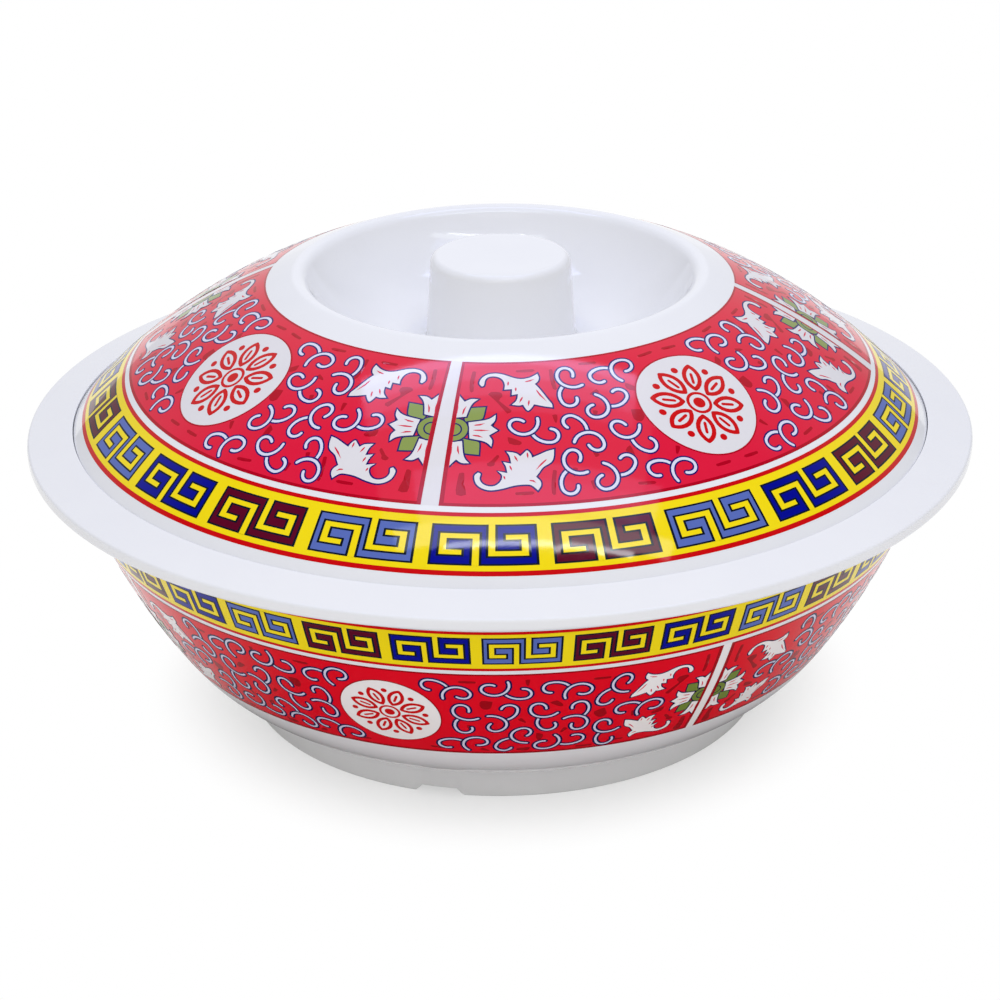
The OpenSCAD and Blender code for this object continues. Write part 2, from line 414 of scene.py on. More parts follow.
def lay(face, name, sheet, ink, depth, nodes=()):
    """Gives flat print its thickness, lays it on its face, and gives it the face's own normals."""
    sheet.normal_update()
    bmesh.ops.reverse_faces(sheet, faces=[f for f in sheet.faces if f.normal.z > 0])
    lower = sheet.verts[:]
    bmesh.ops.extrude_face_region(sheet, geom=sheet.faces[:])
    for v in lower:
        v.co.z = -depth
    normals = []
    for v in sheet.verts:
        v.co, normal = face.place(*v.co)
        normals.append(normal)
    sheet.normal_update()
    made = piece(name, sheet, face.body, ink, nodes)
    made.data.normals_split_custom_set_from_vertices(normals)


def cut_up(bm):
    """Cuts flat shapes into a grid small enough to follow the curve of a face."""
    for axis in (0, 1):
        values = [v.co[axis] for v in bm.verts]
        normal = [0, 0, 0]
        normal[axis] = 1
        for k in range(ceil(min(values) / GRID), ceil(max(values) / GRID)):
            geom = bm.verts[:] + bm.edges[:] + bm.faces[:]
            bmesh.ops.bisect_plane(bm, geom=geom, plane_co=[n * k * GRID for n in normal], plane_no=normal)


def stamp(draw, *measures):
    """A flat drawing kept as a mesh, to be pressed many times."""
    bm = bmesh.new()
    draw(bm, *measures)
    mesh = bpy.data.meshes.new("stamp")
    bm.to_mesh(mesh)
    bm.free()
    return mesh


def press(face, ink, mesh, level, x, y, turn=0, flip=1, size=(1, 1), true=True):
    """Presses a stamp at a place, in true lengths on the curved face or in flat ones. flip -1 mirrors it."""
    sheet = face.sheets[ink]
    before = len(sheet.verts)
    sheet.from_mesh(mesh)
    sheet.verts.ensure_lookup_table()
    new = sheet.verts[before:]
    grow = Matrix.Diagonal((size[0] * flip, size[1], 1, 1))
    bmesh.ops.transform(sheet, matrix=grow @ Matrix.Rotation(radians(turn), 4, "Z"), verts=new)
    for v in new:
        v.co.x = x + v.co.x * (face.flat / face.radius(y + v.co.y) if true else 1)
        v.co.y += y
        v.co.z = LEVELS[level]


# Ways of drawing
ARC_TURN = 14
CAP_TURNS = (45, 78)


def cap(bm, edge, heading, width):
    """Rounds off the end of a line."""
    middle = (edge.verts[0].co + edge.verts[1].co) / 2
    half = edge.verts[0].co - middle
    out = Vector((cos(heading), sin(heading), 0)) * width / 2
    for a in map(radians, CAP_TURNS):
        made = bmesh.ops.extrude_edge_only(bm, edges=[edge])["geom"]
        ends = [g for g in made if isinstance(g, bmesh.types.BMVert)]
        for v in ends:
            side = 1 if (v.co - middle).dot(half) > 0 else -1
            v.co = middle + out * sin(a) + half * cos(a) * side
        edge = next(g for g in made if isinstance(g, bmesh.types.BMEdge) and set(g.verts) == set(ends))


def line(bm, start, heading, width, path, caps=(True, True)):
    """A line through arcs of a radius and a turn in degrees; a turn of 0 goes straight for that length."""
    h = radians(heading)
    at = Vector((*start, 0))
    side = Vector((-sin(h), cos(h), 0)) * width / 2
    edge = bm.edges.new((bm.verts.new(at + side), bm.verts.new(at - side)))
    if caps[0]:
        cap(bm, edge, h + pi, width)
    geom = [*edge.verts, edge]
    for radius, turn in path:
        if turn:
            a = radians(turn)
            centre = at + Vector((-sin(h), cos(h), 0)) * radius * (1 if a > 0 else -1)
            steps = max(1, round(abs(turn) / ARC_TURN))
            geom = bmesh.ops.spin(
                bm, geom=geom, cent=centre, axis=(0, 0, 1), angle=a, steps=steps)["geom_last"]
            at = centre + Matrix.Rotation(a, 3, "Z") @ (at - centre)
            h += a
        else:
            step = Vector((cos(h), sin(h), 0)) * radius
            steps = max(1, round(radius / GRID))
            geom = bmesh.ops.spin(
                bm, geom=geom, cent=at, axis=(0, 0, 1), dvec=step / steps, angle=0, steps=steps)["geom_last"]
            at = at + step
    if caps[1]:
        cap(bm, next(g for g in geom if isinstance(g, bmesh.types.BMEdge)), h, width)


def smooth(curves, steps=3):
    """An outline of curves that run from corner to corner through the points given."""
    outline = []
    for points in curves:
        p = [Vector(q) for q in points]
        p = [2 * p[0] - p[1]] + p + [2 * p[-1] - p[-2]]
        for i in range(1, len(p) - 2):
            for t in (k / steps for k in range(steps)) if len(points) > 2 else (0,):
                a = 2 * p[i] + (p[i + 1] - p[i - 1]) * t
                b = (2 * p[i - 1] - 5 * p[i] + 4 * p[i + 1] - p[i + 2]) * t * t
                c = (3 * p[i] - p[i - 1] - 3 * p[i + 1] + p[i + 2]) * t ** 3
                outline.append((a + b + c) / 2)
    return outline


def grown(outline, by):
    """An outline moved outwards, for the line round a shape."""
    before = outline[-1:] + outline[:-1]
    after = outline[1:] + outline[:1]
    sense = 1 if sum(a.x * b.y - a.y * b.x for a, b in zip(outline, after)) > 0 else -1
    moved = []
    for a, p, b in zip(before, outline, after):
        n = (p - a).normalized()
        m = (b - p).normalized()
        out = Vector((n.y + m.y, -n.x - m.x)) * sense
        moved.append(p + out * by / max(0.5, 1 + n.dot(m)))
    return moved


def shape(bm, outline):
    bm.faces.new([bm.verts.new((*p, 0)) for p in outline])
    cut_up(bm)


def disc(bm, radius):
    bmesh.ops.create_circle(bm, cap_ends=True, segments=64, radius=radius)
    cut_up(bm)


def rectangle(bm, width, height):
    across = ceil(width / GRID)
    down = ceil(height / GRID)
    bmesh.ops.create_grid(bm, x_segments=across, y_segments=down, size=0.5)
    bmesh.ops.scale(bm, vec=(width, height, 1), verts=bm.verts)


def spindles(bm, veins, width):
    """Short strokes that swell in the middle and run out to points."""
    for points in veins:
        p = [Vector(q) for q in points]
        if len(p) == 2:
            p.insert(1, (p[0] + p[1]) / 2)
        along = (p[2] - p[0]).normalized() * width / 2
        side = Vector((-along.y, along.x))
        near = p[0].lerp(p[1], 0.3)
        outline = [p[0], near + side * 0.7, p[1] + side, p[2], p[1] - side, near - side * 0.7]
        bm.faces.new([bm.verts.new((*q, 0)) for q in outline])


def track(bm, points, width):
    """A line with square corners through the points given."""
    p = [Vector(q) for q in points]
    sides = []
    for i, q in enumerate(p):
        into = (p[max(i, 1)] - p[max(i, 1) - 1]).normalized()
        away = (p[i + 1] - q).normalized() if i + 1 < len(p) else into
        out = Vector((-into.y - away.y, into.x + away.x)) / (1 + into.dot(away)) * width / 2
        sides.append((bm.verts.new((*(q + out), 0)), bm.verts.new((*(q - out), 0))))
    for (a, b), (c, d) in zip(sides, sides[1:]):
        bm.faces.new((a, b, d, c))
    cut_up(bm)


def mirrored(curves):
    """Curves with their mirror image below, for an outline that is the same on both sides of y = 0."""
    return curves + [[(x, -y) for x, y in reversed(c)] for c in reversed(curves)]


# Motifs, in millimetres about their own middle, x away from a panel's bar and y down the face
LINE = 0.4
DARK_LINE = 0.5
FRET_LINE = 0.46
VEIN_W = 0.45
SCROLL_W = 0.74
FINE_SCROLL_W = 0.58
SCROLL_TAIL = (3.93, -69.3)
SCROLL_HEAD = [(3.44, 93.6), (1.81, 117), (2.41, 43.4)]
CURL = (4.61, -74.1)
CURL_END = (1.97, -169.3)
CURL_HEADING = -77.1
CURL_GAP = 0.8
PETAL_TURNS = (-90, 90, 0)
FLOWER_CUT = 0.1
EYE_R = 3.25
EYE_RING_R = 1.75
EYE_LINE = 0.35
MEDALLION_R = 15.5
UPPER_LEAF = [
    [(-7.7, -0.9), (-8.2, -1.8), (-7.9, -3.0), (-7.1, -4.1), (-5.9, -4.9), (-4.2, -5.2), (-2.6, -4.9),
     (-1.4, -4.4), (0.2, -3.6), (1.9, -3.2), (3.5, -3.4), (4.7, -3.9), (5.9, -4.7)],
    [(5.9, -4.7), (6.2, -3.4), (5.9, -2.2), (5.1, -1.4)],
    [(5.1, -1.4), (5.8, -0.4), (6.6, 1.0), (7.4, 2.5), (8.2, 4.0), (8.9, 5.2), (9.0, 6.3)],
    [(9.0, 6.3), (7.0, 5.8), (4.6, 5.0)],
    [(4.6, 5.0), (4.0, 6.0), (3.1, 6.9), (2.4, 6.0), (2.0, 5.0)],
    [(2.0, 5.0), (0.9, 5.2), (-0.7, 4.9)],
    [(-0.7, 4.9), (0.2, 4.0), (0.7, 3.0), (0.9, 1.6)],
    [(0.9, 1.6), (-0.6, 1.9)],
    [(-0.6, 1.9), (-0.4, 0.0)],
    [(-0.4, 0.0), (-2.3, 0.1)],
    [(-2.3, 0.1), (-2.1, -1.2), (-2.3, -2.5), (-2.9, -3.5), (-3.9, -4.1), (-5.1, -4.2), (-6.2, -3.8),
     (-6.8, -2.8), (-7.0, -1.8), (-7.2, -1.1), (-7.7, -0.9)],
]
UPPER_VEINS = [
    [(2.7, -2.2), (4.0, -2.5), (5.1, -3.0)], [(5.3, 0.4), (6.2, 2.2), (7.8, 4.5)],
    [(-1.2, -2.5), (-1.4, -1.0)], [(0.5, -0.5), (0.4, 0.8)], [(2.0, 2.5), (1.1, 4.4)],
    [(3.5, 3.6), (3.2, 5.5)],
]
LOWER_LEAF = [
    [(-9.0, 0.5), (-9.9, 1.5), (-9.6, 3.5), (-8.2, 4.8), (-6.2, 5.3), (-3.5, 4.9), (-0.6, 4.1),
     (2.0, 3.9), (3.5, 4.2), (4.9, 5.6)],
    [(4.9, 5.6), (5.6, 4.5), (5.6, 3.2), (4.6, 1.9)],
    [(4.6, 1.9), (5.4, 0.8), (6.4, -0.6), (8.3, -1.8), (9.0, -3.2), (9.2, -5.4)],
    [(9.2, -5.4), (7.5, -5.0), (5.7, -4.2), (3.9, -3.4)],
    [(3.9, -3.4), (3.6, -4.5), (2.8, -5.5), (2.0, -4.8), (1.1, -3.9)],
    [(1.1, -3.9), (0.1, -4.8), (-2.1, -5.3)],
    [(-2.1, -5.3), (-1.4, -4.0), (-1.1, -1.9)],
    [(-1.1, -1.9), (-3.0, -2.4)],
    [(-3.0, -2.4), (-2.4, -1.2), (-2.1, 0.7)],
    [(-2.1, 0.7), (-4.4, 0.1)],
    [(-4.4, 0.1), (-3.5, 1.0), (-3.4, 2.0), (-4.0, 3.2), (-5.2, 4.1), (-6.7, 4.2), (-8.1, 3.5), (-8.7, 2.2),
     (-8.4, 0.9), (-9.0, 0.5)],
]
LOWER_VEINS = [
    [(7.4, -2.8), (6.0, -1.5), (4.5, 0.2)], [(2.8, -4.9), (2.9, -3.2)], [(-0.3, -4.1), (0.5, -2.4)],
    [(-1.5, -1.4), (-1.0, 0.1)], [(-3.0, 1.4), (-2.7, 2.5)], [(2.9, 2.8), (3.9, 3.0), (4.6, 3.6)],
]
PETAL = mirrored([
    [(3.2, -2.3), (5.5, -2.7), (7.2, -3.1), (8.4, -3.7), (9.4, -4.7)],
    [(9.4, -4.7), (9.4, -2.9), (8.5, -1.5)],
    [(8.5, -1.5), (9.35, -0.8), (10.4, 0)],
])
PETAL_VEINS = [
    [(4.5, -1.45), (6.0, -1.65), (7.2, -2.1)], [(4.5, 0), (8.5, 0)], [(4.5, 1.45), (6.0, 1.65), (7.2, 2.1)],
]
GREEN_LEAF = [
    [(2.1, 3.4), (2.8, 6.2), (3.7, 6.7), (6.7, 7.0)],
    [(6.7, 7.0), (6.5, 4.1), (6.0, 3.3), (4.0, 2.9), (2.4, 2.5)],
    [(2.4, 2.5), (2.1, 3.4)],
]
PATCHES = {
    "bar": [(-0.4, -3.2), (0.5, -3.1), (0.3, 0), (0.4, 3.2), (-0.5, 3.1), (-0.7, 0), (-0.4, -3.2)],
    "post": [(-0.7, -2.8), (0.5, -3.0), (0.7, 0), (1.4, 2.8), (-0.9, 2.9), (-1.0, 0), (-0.7, -2.8)],
    "blob": [(-2.8, -2.6), (-2, -3.4), (0.2, -3.2), (0.6, -1.9), (-0.2, -0.6), (2.8, 2.4), (2, 3.2),
             (1.5, 3), (-0.8, -0.3), (-2.8, -2.6)],
    "slant": [(-1.6, -1.2), (-0.9, -1.1), (1.6, 0.2), (1.1, 1.1), (-1.3, 0.6), (-1.6, -1.2)],
    "hook": [(-1.4, 0.9), (-0.3, 0.1), (1, -1.5), (1.5, -0.9), (0.5, 0.5), (0.4, 1.3), (-0.5, 1.7),
             (-1.2, 1.5), (-1.4, 0.9)],
    "block": [(-1.6, -1.5), (1.2, -1.8), (1.7, 0.2), (0.8, 1.8), (-1, 1.4), (-1.6, -1.5)],
    "wedge": [(-0.6, -1.1), (0.6, -1.1), (0.2, 1.1), (-0.3, 1), (-0.6, -1.1)],
    "strip": [(-2, -0.3), (2, -0.4), (1.9, 0.4), (-1.9, 0.4), (-2, -0.3)],
}

# The gap that winds into a fret unit from below, in shares of the unit's width and height about its middle
FRET_GAP = [(-0.203, 0.184), (-0.379, 0.184), (-0.379, -0.211), (-0.0733, -0.211), (-0.0733, 0.5)]


def scroll(bm, width, gap):
    """A scroll from its node: a tail, a head that curls in, and a small curl that starts clear of them."""
    line(bm, (0, 0), 180, width, [SCROLL_TAIL], (False, True))
    line(bm, (0, 0), 0, width, SCROLL_HEAD, (False, True))
    radius, turn = CURL
    skip = -degrees(gap / radius)
    h = radians(CURL_HEADING)
    centre = Vector((sin(h), -cos(h))) * radius
    start = centre + Matrix.Rotation(radians(skip), 2) @ -centre
    line(bm, start, CURL_HEADING + skip, width, [(radius, turn - skip), CURL_END], (False, True))


def petals(bm, by):
    """Three petals of the half flower beside a bar, cut off at the bar."""
    for turn in PETAL_TURNS:
        outline = grown(smooth(PETAL), by) if by else smooth(PETAL)
        verts = [bm.verts.new((*p, 0)) for p in outline]
        bm.faces.new(verts)
        bmesh.ops.rotate(bm, cent=(0, 0, 0), matrix=Matrix.Rotation(radians(turn), 3, "Z"), verts=verts)
    trim(bm)


def trim(bm):
    """Cuts a flower off at the edge of its panel."""
    geom = bm.verts[:] + bm.edges[:] + bm.faces[:]
    bmesh.ops.bisect_plane(bm, geom=geom, plane_co=(FLOWER_CUT, 0, 0), plane_no=(1, 0, 0), clear_inner=True)
    cut_up(bm)


def petal_veins(bm):
    for turn in PETAL_TURNS:
        before = len(bm.verts)
        spindles(bm, PETAL_VEINS, VEIN_W)
        bm.verts.ensure_lookup_table()
        spun = bm.verts[before:]
        bmesh.ops.rotate(bm, cent=(0, 0, 0), matrix=Matrix.Rotation(radians(turn), 3, "Z"), verts=spun)
    trim(bm)


def green_leaves(bm, by):
    for side in (1, -1):
        outline = smooth(GREEN_LEAF)
        outline = grown(outline, by) if by else outline
        bm.faces.new([bm.verts.new((p.x, p.y * side, 0)) for p in outline])
    trim(bm)


def half_disc(bm, radius):
    bmesh.ops.create_circle(bm, cap_ends=True, segments=40, radius=radius)
    trim(bm)


def half_ring(bm, radius, width):
    line(bm, (0, -radius), 0, width, [(radius, 180)], (False, False))


def rosette(bm):
    """Eight open petals round a ringed dot, with dots between them."""
    fine = 0.8
    bold = 1.15
    ring_r = 3
    dot_r = 1.6
    petal_at = 4.3
    petal_r = 4.6
    petal_half = 3.8
    vein_at = 6.4
    vein_long = 2.8
    outer_at = 11
    outer_dot_r = 0.95
    line(bm, (ring_r, 0), 90, fine, [(ring_r, 360)], (False, False))
    bmesh.ops.create_circle(bm, cap_ends=True, segments=16, radius=dot_r)
    half = degrees(asin(petal_half / petal_r))
    for k in range(8):
        a = 45 * k + 22.5
        spoke = Vector((cos(radians(a)), sin(radians(a))))
        for bend in (1, -1):
            line(bm, spoke * petal_at, a - half * bend, bold, [(petal_r, 2 * half * bend)])
        line(bm, spoke * vein_at, a, fine, [(vein_long, 0)])
        beside = Matrix.Translation((*(Matrix.Rotation(radians(22.5), 2) @ spoke * outer_at), 0))
        bmesh.ops.create_circle(bm, cap_ends=True, segments=14, radius=outer_dot_r, matrix=beside)


stamps = {
    "scroll_line": stamp(scroll, SCROLL_W + 2 * LINE, 0),
    "scroll": stamp(scroll, SCROLL_W, CURL_GAP),
    "fine_scroll_line": stamp(scroll, FINE_SCROLL_W + 2 * DARK_LINE, 0),
    "fine_scroll": stamp(scroll, FINE_SCROLL_W, CURL_GAP),
    "upper_leaf_line": stamp(shape, grown(smooth(UPPER_LEAF), LINE)),
    "upper_leaf": stamp(shape, smooth(UPPER_LEAF)),
    "upper_veins": stamp(spindles, UPPER_VEINS, VEIN_W),
    "lower_leaf_line": stamp(shape, grown(smooth(LOWER_LEAF), LINE)),
    "lower_leaf": stamp(shape, smooth(LOWER_LEAF)),
    "lower_veins": stamp(spindles, LOWER_VEINS, VEIN_W),
    "petals_line": stamp(petals, LINE),
    "petals": stamp(petals, 0),
    "petal_veins": stamp(petal_veins),
    "green_line": stamp(green_leaves, LINE),
    "green": stamp(green_leaves, 0),
    "eye_line": stamp(half_disc, EYE_R + EYE_LINE),
    "eye": stamp(half_disc, EYE_R),
    "eye_ring": stamp(half_ring, EYE_RING_R, EYE_LINE),
    "medallion_line": stamp(disc, MEDALLION_R + LINE),
    "medallion": stamp(disc, MEDALLION_R),
    "rosette": stamp(rosette),
}
for patch, curve in PATCHES.items():
    stamps[patch] = stamp(shape, smooth([curve], 2))


# Widths of the dark lines along a panel's sides, top and foot
SIDE_LINE = 0.9
TOP_LINE = 0.5
FOOT_LINE = 0.8


def strip(face, ink, level, x0, x1, y0, y1):
    """A plain band of ink between two places round the face and two heights."""
    sheet = face.sheets[ink]
    before = len(sheet.verts)
    across = ceil((x1 - x0) / GRID_ROUND)
    down = ceil((y1 - y0) / GRID)
    bmesh.ops.create_grid(sheet, x_segments=across, y_segments=down, size=0.5)
    sheet.verts.ensure_lookup_table()
    middle = Matrix.Translation(((x0 + x1) / 2, (y0 + y1) / 2, LEVELS[level]))
    grow = Matrix.Diagonal((x1 - x0, y1 - y0, 1, 1))
    bmesh.ops.transform(sheet, matrix=middle @ grow, verts=sheet.verts[before:])


def half_panel(face, at, half, side, plan):
    """Draws half a panel. at is its medallion, half the way from there to the bar, side 1 the right half."""
    for u, v, heading in plan["right" if side > 0 else "left"]:
        x = at + side * u * half / plan["half"]
        for ink, part, level in (("navy", "_line", 2), ("scroll", "", 3)):
            press(face, ink, stamps[plan["scroll"] + part], level, x, v, heading)
    for du, v, mesh, turn in plan["patches"]:
        x = at + side * (half - du * half / plan["half"])
        press(face, "shade", stamps[mesh], 1, x, v, turn, -side, (plan["patch"], plan["patch"]))
    for name in ("upper", "lower"):
        du, v, wide, tall = plan[name]
        x = at + side * (half - du)
        for ink, part, level in (("navy", "_leaf_line", 2), ("white", "_leaf", 3), ("vein", "_veins", 4)):
            press(face, ink, stamps[name + part], level, x, v, 0, -side, (wide, tall))
    du, v, size = plan["flower"]
    x = at + side * (half - du)
    for ink, part, level in (
            ("navy", "green_line", 2), ("green", "green", 3), ("navy", "petals_line", 4),
            ("white", "petals", 5), ("vein", "petal_veins", 6), ("navy", "eye_line", 6),
            ("green", "eye", 7), ("navy", "eye_ring", 8)):
        press(face, ink, stamps[part], level, x, v, 0, -side, (size, size))


def panel(face, number, start, end, at, plan):
    """Draws a panel between two angles: its ground, its edge lines, its medallion and its two halves."""
    x0 = radians(start) * face.flat
    x1 = radians(end) * face.flat
    middle = radians(at) * face.flat
    tall = plan["tall"]
    ground = "ground %d" % number
    # The ground takes the body's crimson; on the lid that colour carries painted sheen.
    strip(face, ground, 0, x0, x1, 0, tall)
    lay(face, "%s_panel_%d" % (face.body, number), face.sheets.pop(ground), face.body + "_crimson",
        FOIL_DEPTH, ["%s_panel_foil_%d" % (face.body, number)])
    left = x0 + SIDE_LINE
    right = x1 - SIDE_LINE
    for a, b, y0, y1 in (
            (x0, left, 0, tall), (right, x1, 0, tall),
            (left, right, 0, TOP_LINE), (left, right, tall - FOOT_LINE, tall)):
        strip(face, "shade", 1, a, b, y0, y1)
    v, size = plan["medallion"]
    for ink, part, level in (
            ("shade", "medallion_line", 2), ("white", "medallion", 3), ("red", "rosette", 4)):
        press(face, ink, stamps[part], level, middle, v, 0, 1, (size, size))
    half_panel(face, middle, x1 - middle, 1, plan)
    half_panel(face, middle, middle - x0, -1, plan)


def border(face, plan):
    """Draws a border: yellow ground, two red lines and a ring of fret units in three colours in turn."""
    round_x = pi * face.flat
    top, foot = plan["edge"]
    strip(face, "ground", 0, -round_x, round_x, top, foot)
    lay(face, face.body + "_border", face.sheets.pop("ground"), "yellow", FOIL_DEPTH,
        [face.body + "_border_foil"])
    for y0, y1 in plan["lines"]:
        strip(face, "line", 1, -round_x, round_x, y0, y1)
    wide, tall = plan["unit"]
    path = [(wide * u, tall * v) for u, v in FRET_GAP]
    longer = [(path[0][0] + FRET_LINE, path[0][1])] + path[1:]
    parts = {
        "back": stamp(rectangle, wide, tall),
        "face": stamp(rectangle, wide - 2 * FRET_LINE, tall - 2 * FRET_LINE),
        "gap_line": stamp(track, longer, plan["gap"] + 2 * FRET_LINE),
        "gap": stamp(track, path, plan["gap"]),
    }
    units = plan["units"]
    order = plan["order"]
    y = plan["middle"]
    for k in range(-(units // 2), (units + 1) // 2):
        x = radians(plan["first"] + 360 / units * k) * face.flat
        for ink, part, level in (("fret_line", "back", 1), (order[k % len(order)], "face", 2)):
            press(face, ink, parts[part], level, x, y, true=False)
        for ink, part, level in (("fret_line", "gap_line", 3), ("yellow", "gap", 4)):
            for turn in (0, 180):
                press(face, ink, parts[part], level, x, y, turn, true=False)
    for mesh in parts.values():
        bpy.data.meshes.remove(mesh)


# Where the motifs stand in half a panel, down from its top. Scrolls are measured out from the medallion,
# with their headings; leaves, the flower and the patches in from the bar, with their sizes or turns.
# The bars' places and width and the shifts of the medallions are in degrees.
LID_PLAN = {
    "bars": (-10.2, 83.5, 171.05, 258.6, 349.8), "bar": 2.5, "shifts": (0, 0, 0, -0.5),
    "tall": 42.68, "half": 61.15, "scroll": "scroll", "patch": 1, "medallion": (21.4, 1),
    "flower": (1.0, 21.6, 1), "upper": (15.75, 9, 1, 1), "lower": (15.25, 33, 1, 1),
    "right": [
        (18.7, 5.5, -43), (33.2, 9.6, 27), (22.1, 16.7, 146), (30.2, 23.8, -114), (42, 23.1, 111),
        (20.5, 27.6, 86), (25.7, 36.5, 157), (36.7, 35, 15), (14, 36.7, -66)],
    "left": [
        (17.5, 5.4, -70), (32.4, 8.7, -139), (23, 16.7, 99), (30.1, 23.6, 2), (42.7, 22.4, 149),
        (20.7, 26.6, 173), (26.4, 36.4, 91), (35.9, 33.5, -131), (14.3, 36.2, -48)],
    "patches": [
        (4, 6.5, "bar", 0), (11.4, 13.2, "blob", 0), (14.6, 24.8, "slant", 0), (9.9, 30.1, "hook", 0),
        (3.8, 36.7, "post", 0), (16, 39.2, "strip", 0), (22, 36.6, "bar", 8), (24.5, 18.7, "wedge", 0),
        (26.1, 6.4, "bar", 0), (18.6, 3.1, "strip", 0), (34.2, 18.6, "wedge", 20), (39.2, 30.8, "slant", 60),
        (48, 22.6, "wedge", -20), (57.5, 39, "strip", 0), (37.5, 2.4, "strip", 5), (56.5, 3, "strip", -4),
        (40, 39.6, "strip", 8), (31.5, 29.5, "wedge", 160), (46.5, 12.2, "slant", 20), (36, 12, "wedge", 70),
        (44.3, 20.7, "block", 20), (49.3, 32.5, "wedge", 30), (29.6, 38.2, "wedge", 0),
        (26.4, 34.3, "wedge", 15)],
}
BOWL_PLAN = {
    "bars": (30, 122.5, 210, 297.5, 390), "bar": 1.3, "shifts": (0, 0, 0, 0),
    "tall": 34.49, "half": 79.6, "scroll": "fine_scroll", "patch": 0.95,
    "medallion": (17.2, 12.5 / MEDALLION_R), "flower": (0.9, 18.4, 0.83),
    "upper": (13.5, 8.1, 0.885, 0.785), "lower": (14.3, 27.3, 0.7, 0.8),
    "right": [
        (15.4, 5.5, -34), (27.9, 7.1, 138), (43.1, 5.8, -43), (53.4, 8.1, -116), (17.2, 17.6, -146),
        (28, 18.3, 59), (36.5, 17.3, -163), (46.9, 18.5, 32), (61.8, 16.9, -52), (17.5, 28.3, -66),
        (29.8, 26.6, -110), (41.8, 30.4, 112), (52.8, 26.9, -156)],
    "left": [
        (13.9, 5, -71), (28.8, 6.6, 129), (41.6, 4.5, -67), (51.9, 7.9, 14), (16.5, 18.2, 32),
        (26.9, 17.4, -161), (35, 16.8, 59), (45.5, 16.6, -150), (59.6, 16.2, -63), (15.8, 28.4, -44),
        (28.4, 27.1, -7), (41.5, 29.2, 134), (51.7, 26.7, 49)],
    "patches": [
        (3.4, 5.2, "bar", 0), (9.6, 11.4, "blob", 0), (12.6, 21.2, "slant", 0), (8.4, 25.4, "hook", 0),
        (3.3, 30.4, "post", 0), (19.5, 20.2, "wedge", 0), (24.5, 4, "strip", 0), (55.8, 11.9, "block", 0),
        (46.3, 3.2, "wedge", 0), (29.2, 3.6, "strip", 0), (28, 17.9, "block", 30), (47.3, 18.7, "wedge", 40),
        (43, 26.4, "slant", 70), (39.2, 12.2, "slant", 120), (22, 31.8, "strip", 0),
        (56.9, 32.4, "wedge", 60), (59.8, 2.9, "strip", 0), (69, 32, "strip", -6), (30.5, 32.8, "strip", 0),
        (60.3, 21.8, "wedge", 0), (36.9, 24, "wedge", -30), (46.9, 32.2, "slant", -20),
        (33, 26.5, "wedge", 80)],
}
LID_BORDER = {
    "units": 23, "first": -2.55, "order": ("fret_navy", "fret_maroon", "fret_blue"),
    "edge": (44.23, 60.16), "lines": [(44.23, 45.27), (58.94, 60.16)],
    "unit": (19.25, 10.35), "gap": 1.2, "middle": 52.42,
}
BOWL_BORDER = {
    "units": 32, "first": 2.09, "order": ("fret_blue", "fret_maroon", "fret_navy"),
    "edge": (-14.7, -1.3), "lines": [(-14.7, -13.8), (-2.2, -1.3)],
    "unit": (17.25, 9), "gap": 1.05, "middle": -8.2,
}
LID_FLAT_R = 80
BOWL_FLAT_R = 100
BOWL_PANEL_Z = 54.5

lid_face = Face("lid", LID_FLAT_R, dome_c, dome_r, CROWN_Z)
bowl_face = Face("bowl", BOWL_FLAT_R, belly_c, BELLY_R, BOWL_PANEL_Z)
for face, plan in ((lid_face, LID_PLAN), (bowl_face, BOWL_PLAN)):
    bars = plan["bars"]
    half_bar = plan["bar"] / 2
    for number, (start, end, shift) in enumerate(zip(bars, bars[1:], plan["shifts"]), 1):
        panel(face, number, start + half_bar, end - half_bar, (start + end) / 2 + shift, plan)
        edges = [radians(start + half_bar * side) * face.flat for side in (-1, 1)]
        strip(face, "white", 0, *edges, 0, plan["tall"])
border(lid_face, LID_BORDER)
border(bowl_face, BOWL_BORDER)

# The inks of both faces, a piece for each colour. The bowl's white ink carries painted light.
for face in (lid_face, bowl_face):
    for ink, sheet in face.sheets.items():
        colour = "red" if ink == "line" else ink
        colour = colour if colour in INKS else face.body + "_" + colour
        lay(face, "%s_print_%s" % (face.body, ink), sheet, colour, INK_DEPTH)
for mesh in stamps.values():
    bpy.data.meshes.remove(mesh)


